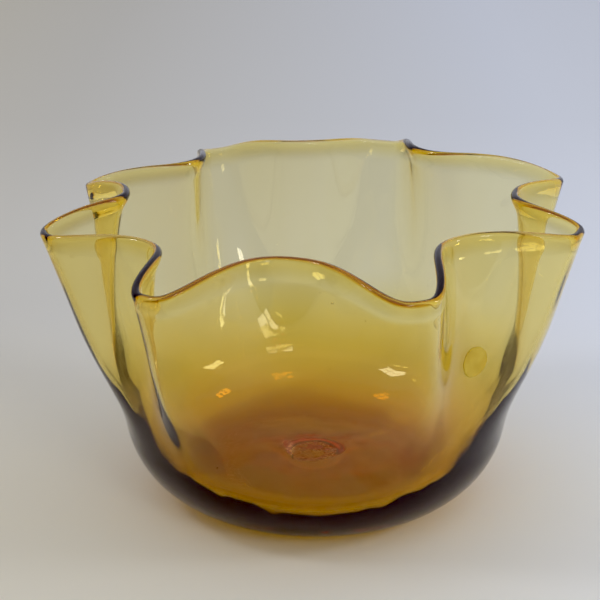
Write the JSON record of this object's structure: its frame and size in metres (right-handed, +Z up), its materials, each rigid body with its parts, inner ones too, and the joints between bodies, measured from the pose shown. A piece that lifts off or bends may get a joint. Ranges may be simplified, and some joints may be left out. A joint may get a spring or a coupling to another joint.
{
  "type": "glass bowl",
  "caption": "Hand-blown amber glass bowl with a deep rounded body, a fluted wall, a ruffled fire-polished rim and a dished foot with a pontil scar.",
  "frame": {"origin": "centre of the foot ring, on the plane that the bowl rests on", "axes": "+Z up from the foot to the rim; +Y runs away from the side with the round label, and +X to the right of it"},
  "size_m": [0.2811, 0.2748, 0.1739],
  "materials": {
    "amber_glass": "polished",
    "broken_glass": "rough",
    "label_paper": "matte"
  },
  "bodies": {
    "root": {"bowl_body": "amber_glass", "pontil_scar": "broken_glass", "round_label": "label_paper"}
  },
  "joints": []
}
